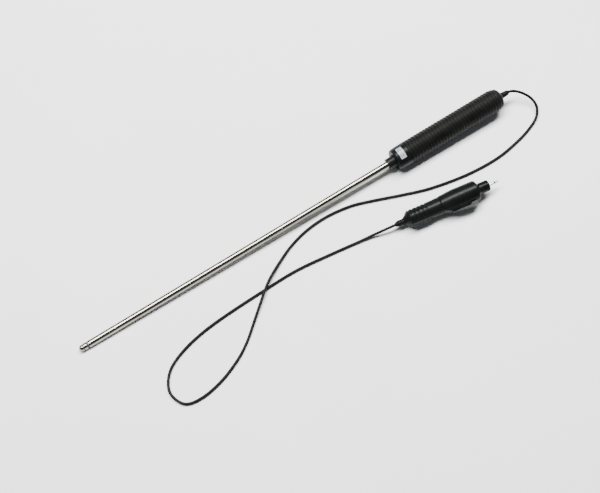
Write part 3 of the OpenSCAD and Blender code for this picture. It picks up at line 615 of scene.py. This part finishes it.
pad_outline = [(PAD_START + 0.05, 0), (PAD_START + 0.05, 10.6, 0.2), (6.0, 11.9, 0.8)]
for x in [FIRST_GROOVE + GROOVE_PITCH * (i + 0.5) for i in range(4)]:
    pad_outline += [(x - 1.9, 11.9, 0.4), (x - 1.3, 12.5, 0.6), (x + 1.3, 12.5, 0.6), (x + 1.9, 11.9, 0.4)]
pad_outline += [(30.8, 11.9, 0.6), (PAD_END - 0.05, 11.0, 0.2), (PAD_END - 0.05, 0)]
pad = lathe("thumb_pad_rubber", pad_outline, PLUG, "pad_rubber", ["thumb_pad"])
combine(pad, "INTERSECT", box_mesh((PAD_START - 1, -20, -4.95), (PAD_END + 1, -9.05, 4.95)))

# ---------- the plug's front half ----------

PIVOT = (69.0, -13.3)
front_shell = lathe(
    "plug_front_shell_body",
    [(46.82, 8.75), (46.82, 10.9, 0.1), (47.6, 11.4, 0.3), (50, 11.8, 1.5), (56, 12.3, 3), (61, 12.8, 3),
     (67, FRONT_R, 4), (94.8, 12.95, 0.9), (96.4, 12.15, 0.8), (98.2, 9.2, 0.8), (99.2, 7.6, 0.3),
     (99.2, 4.45), (88, 4.45), (88, 7.6), (53.85, 7.6), (53.85, 8.75)],
    PLUG, "plug_plastic", ["plug_front_shell"], closed=True)
HOUSING_FOOT, FOOT_HALF_W, DRAFT = -8.9, 7.3, 0.345
HOUSING = [(47.4, -8.9), (47.4, -10.2, 0.5), (51, -11.5, 2.0), (54, -12.6, 2.0), (56, -13.7, 1.5),
           (58.5, -14.7, 1.0), (81.5, -14.7, 0.5), (83, -13.3, 0.5), (83, -8.9)]
housing = prism(HOUSING, -1, 1, soft=0.12)
# The block is two units wide; its flanks are then drawn in towards the top.
for v in housing.verts:
    v.co.z *= FOOT_HALF_W - DRAFT * (HOUSING_FOOT - v.co.y)
combine(front_shell, "UNION", housing)
combine(front_shell, "DIFFERENCE", box_mesh((56, -35, -4.3), (92, -11.3, 4.3)), rod(1.02, *PIVOT, -8, 5.15))

lathe("nose_collar_shell",
      [(88.5, 3.45), (88.5, 4.4), (99.2, 4.4), (99.2, 7.15), (109.8, 7.15, 0.5), (109.8, 2.35), (98, 2.35),
       (98, 3.45)],
      PLUG, "plug_plastic", ["nose_collar"], closed=True)
lathe("nose_ring_shell",
      [(109.82, 2.35), (109.82, 6.55, 0.1), (110.2, 7.05, 0.3), (111.7, 7.05, 0.5), (112.4, 6.65, 0.3),
       (112.7, 5.75, 0.3), (112.7, 2.35)],
      PLUG, "plug_plastic", ["nose_ring"], closed=True)

# ---------- the jack pin ----------

lathe("jack_sleeve_shell",
      [(96, 1.2), (96, 3.4, 0.1), (97.95, 3.4, 0.1), (97.95, 2.3), (112.7, 2.3), (112.7, 1.75),
       (119.9, 1.75, 0.08), (119.9, 1.2)],
      PLUG, "jack_plating", ["jack_sleeve"], closed=True)
lathe("jack_insulator_ring",
      [(93, 0.65), (93, 1.6, 0.1), (94, 2.1, 0.3), (96, 2.1), (96, 1.15), (119.9, 1.15), (119.9, 1.72, 0.05),
       (120.7, 1.72, 0.05), (120.7, 0.65)],
      PLUG, "insulator", ["jack_insulator"], closed=True)
lathe("jack_tip_contact",
      [(88, 0), (88, 0.6, 0.1), (120.7, 0.6), (120.7, 1.55, 0.05), (121.0, 1.75, 0.15), (121.5, 1.75, 0.3),
       (122.3, 1.25, 0.4), (122.9, 1.5, 0.3), (126.6, 0.3, 0.2), (127, 0)],
      PLUG, "jack_plating", ["jack_tip"])

# ---------- the latch ----------

lever_mesh = prism(
    [(56.6, -13.0, 0.35), (56.6, -14.2, 0.6), (58.0, -15.3, 0.8), (67.0, -16.6, 3.0), (82.0, -17.7, 4.0),
     (88.0, -17.5, 1.2), (90.2, -16.7, 0.8), (91.0, -15.5, 0.5), (91.0, -12.4, 0.35), (89.8, -12.4, 0.35),
     (88.8, -13.0), (81.0, -13.0), (81.0, -11.32, 0.3), (79.0, -11.32, 0.3), (79.0, -13.0)],
    -4.0, 4.0, soft=0.22)
lever = finish_mesh(lever_mesh, "latch_lever_body", PLUG, "plug_plastic", "latch", ["latch_lever"])
grooves = [rod(0.42, 58.0 + 1.5 * i, -15.35 - 0.217 * i, -5, 5, sides=16) for i in range(1, 6)]
combine(lever, "UNION", rod(1.7, *PIVOT, -3.7, 3.7))
combine(lever, "DIFFERENCE", rod(1.05, *PIVOT, -5, 5), *grooves)

pin_pose = PLUG @ Matrix.Translation([c * MM for c in (*PIVOT, 0.0)]) @ Matrix.Rotation(-math.pi / 2, 4, "Y")
lathe("latch_pin_rod", [(-5.4, 0), (-5.4, 1.0, 0.2), (5.1, 1.0, 0.2), (5.1, 0)], pin_pose, "screw_steel",
      ["latch_pin"], segments=48)

SPRING_AT, POCKET_FLOOR, SPRING_TOP, SPRING_R, SPRING_WIRE_R = 60.5, -9.4, -13.0, 1.35, 0.22
spring_mesh = coil_mesh(
    SPRING_AT, POCKET_FLOOR - SPRING_WIRE_R, SPRING_TOP + SPRING_WIRE_R, SPRING_R, SPRING_WIRE_R, turns=4
)
spring = finish_mesh(spring_mesh, "latch_spring_coil", PLUG, "spring_steel", "probe", ["latch_spring"])
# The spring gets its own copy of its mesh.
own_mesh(spring)

# ---------- floor and light ----------


def floor_material():
    t = Tree("floor_paper", Specular_IOR_Level=0.2)
    t.to("Base Color", t.colour(t.noise(0.004, detail=3), (0.87, 0.87, 0.87), (0.90, 0.90, 0.90)))
    t.to("Roughness", t.ramp(t.noise(0.02, detail=3), 0.7, 0.8))
    return t.material


bm = bmesh.new()
bmesh.ops.create_grid(bm, x_segments=1, y_segments=1, size=4)
floor_mesh = bpy.data.meshes.new("floor")
bm.to_mesh(floor_mesh)
bm.free()
floor_mesh.materials.append(floor_material())
floor = bpy.data.objects.new("floor", floor_mesh)
scene.collection.objects.link(floor)


def area_light(name, at, target, size, power, colour=(1, 1, 1)):
    data = bpy.data.lights.new(name, "AREA")
    data.shape, data.size, data.size_y = "RECTANGLE", size[0], size[1]
    data.energy, data.color = power, colour
    light = bpy.data.objects.new(name, data)
    scene.collection.objects.link(light)
    light.location = at
    light.rotation_mode = "QUATERNION"
    light.rotation_quaternion = (Vector(target) - Vector(at)).to_track_quat("-Z", "Y")
    return light


area_light("main_softbox", (0.40, 0.72, 2.2), (0.40, 0, 0), (3.0, 0.8), 260)
area_light("low_fill", (-0.3, -2.2, 0.5), (0, 0, 0), (2.0, 0.6), 1.5)

world = bpy.data.worlds.new("studio")
scene.world = world
world.use_nodes = True
world.node_tree.nodes["Background"].inputs["Color"].default_value = (0.9, 0.95, 1.0, 1)
world.node_tree.nodes["Background"].inputs["Strength"].default_value = 0.10
